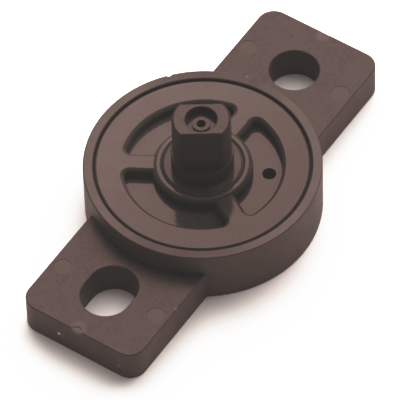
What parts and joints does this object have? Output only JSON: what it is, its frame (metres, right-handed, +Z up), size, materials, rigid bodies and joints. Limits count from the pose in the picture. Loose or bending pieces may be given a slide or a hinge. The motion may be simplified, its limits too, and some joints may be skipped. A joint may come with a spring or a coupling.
{
  "type": "rotary damper",
  "caption": "Flat round rotary damper with fixing lugs on opposite sides, a welded cap and an upright double-D shaft that turns slowly against a viscous fluid.",
  "frame": {"origin": "middle of the underside, on the shaft's axis", "axes": "+Z up along the shaft, +X along the lugs towards the round fixing hole"},
  "size_m": [0.038, 0.0202, 0.0112],
  "materials": {
    "housing_plastic": "matt moulded plastic, dark warm grey",
    "cap_plastic": "matt moulded plastic, dark warm grey",
    "rotor_plastic": "satin moulded plastic, dark warm grey",
    "seal_rubber": "black nitrile rubber"
  },
  "bodies": {
    "housing_body": {"housing": "housing_plastic", "cap": "cap_plastic", "shaft_seal": "seal_rubber"},
    "rotor_body": {"rotor": "rotor_plastic"}
  },
  "joints": [
    {"name": "shaft_turn", "type": "hinge", "parent": "housing_body", "child": "rotor_body", "pos_m": [0, 0, 0], "axis": [0, 0, 1], "continuous": true}
  ]
}
